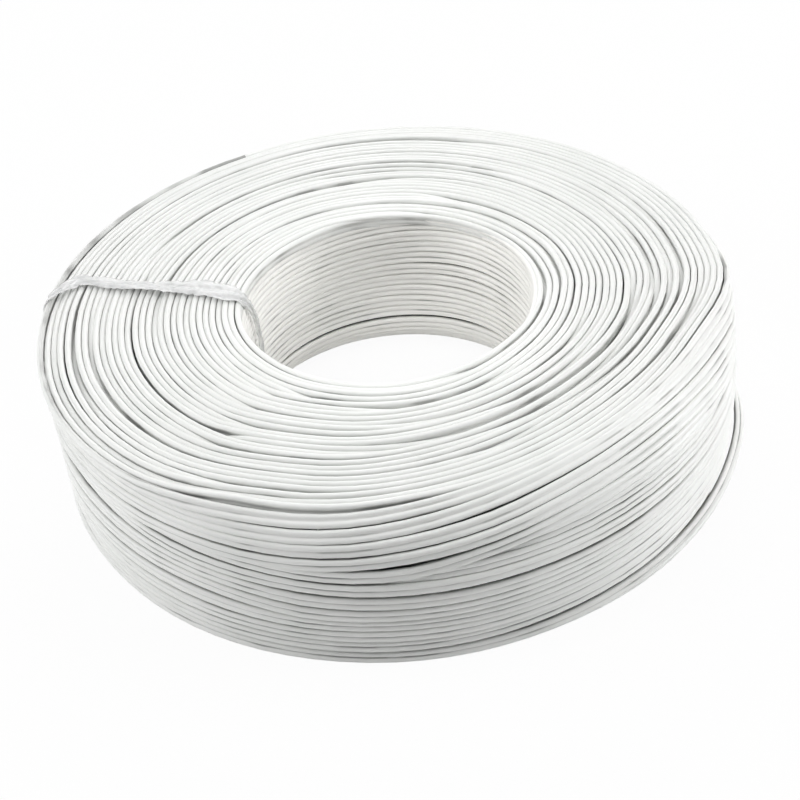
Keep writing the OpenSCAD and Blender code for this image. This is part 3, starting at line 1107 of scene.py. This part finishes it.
# Round lamps that point at the coil: place and size in metres, and watts
LIGHTS = {
    "soft_top": ((0.0, 0.1, 1.3), 1.3, 8.0),
    "soft_left": ((-1.2, -0.05, 0.45), 0.9, 7.4),
    "soft_right": ((1.2, -0.1, 0.45), 0.9, 11.4),
    "soft_back": ((0.0, 1.2, 0.7), 0.9, 6.4),
    "high_left": ((-0.9, -0.5, 1.0), 0.9, 3.5),
    "high_right": ((0.9, -0.5, 1.0), 0.9, 0.7),
}
# Narrow beam through the hole, onto the wall that faces the camera, with its own aim and spread
HOLE_BEAM = ((0.0, -0.2, 0.42), 0.08, 0.0042, (0, 0.01, 0.03), 12)


def make_floor():
    """Pale floor, on which the camera sees mostly plain white, with a trace of the shadows."""
    mesh = bpy.data.meshes.new("floor")
    corners = [(x * FLOOR_HALF, y * FLOOR_HALF, 0) for x, y in ((-1, -1), (1, -1), (1, 1), (-1, 1))]
    mesh.from_pydata(corners, [], [[0, 1, 2, 3]])
    mat, tree, shader = principled("pale_floor", (0.87, 0.87, 0.87), 0.9)
    nodes, links = tree.nodes, tree.links
    out = nodes["Material Output"]
    light = nodes.new("ShaderNodeEmission")
    light.inputs["Color"].default_value = (1, 1, 1, 1)
    light.inputs["Strength"].default_value = 1.0
    path = nodes.new("ShaderNodeLightPath")
    seen = nodes.new("ShaderNodeMath")
    seen.operation = "MAXIMUM"
    links.new(path.outputs["Is Camera Ray"], seen.inputs[0])
    links.new(path.outputs["Is Transmission Ray"], seen.inputs[1])
    share = nodes.new("ShaderNodeMath")
    share.operation = "MULTIPLY"
    share.inputs[1].default_value = FLOOR_GLOW
    links.new(seen.outputs[0], share.inputs[0])
    mix = nodes.new("ShaderNodeMixShader")
    links.new(share.outputs[0], mix.inputs["Fac"])
    links.new(shader.outputs[0], mix.inputs[1])
    links.new(light.outputs[0], mix.inputs[2])
    links.new(mix.outputs[0], out.inputs["Surface"])
    mesh.materials.append(mat)
    obj = bpy.data.objects.new("floor", mesh)
    bpy.context.collection.objects.link(obj)


def area_light(name, place, size, watts, aim=(0, 0, 0.02), spread=180):
    """Round lamp that points at aim. spread is in degrees."""
    data = bpy.data.lights.new(name, "AREA")
    data.shape = "DISK"
    data.size = size
    data.energy = watts
    data.spread = math.radians(spread)
    obj = bpy.data.objects.new(name, data)
    obj.location = place
    obj.rotation_mode = "QUATERNION"
    obj.rotation_quaternion = (Vector(aim) - Vector(place)).to_track_quat("-Z", "Y")
    bpy.context.collection.objects.link(obj)


def make_world():
    world = bpy.data.worlds.new("studio")
    bpy.context.scene.world = world
    world.use_nodes = True
    tree = world.node_tree
    back = tree.nodes["Background"]
    back.inputs["Color"].default_value = (1, 1, 1, 1)
    path = tree.nodes.new("ShaderNodeLightPath")
    strength = tree.nodes.new("ShaderNodeMapRange")
    strength.inputs["To Min"].default_value = WORLD_LEVEL
    strength.inputs["To Max"].default_value = 1.0
    tree.links.new(path.outputs["Is Camera Ray"], strength.inputs["Value"])
    tree.links.new(strength.outputs["Result"], back.inputs["Strength"])


make_floor()
make_world()
for name, lamp in LIGHTS.items():
    area_light(name, *lamp)
area_light("hole_beam", *HOLE_BEAM)

bpy.context.scene.view_settings.view_transform = "Standard"
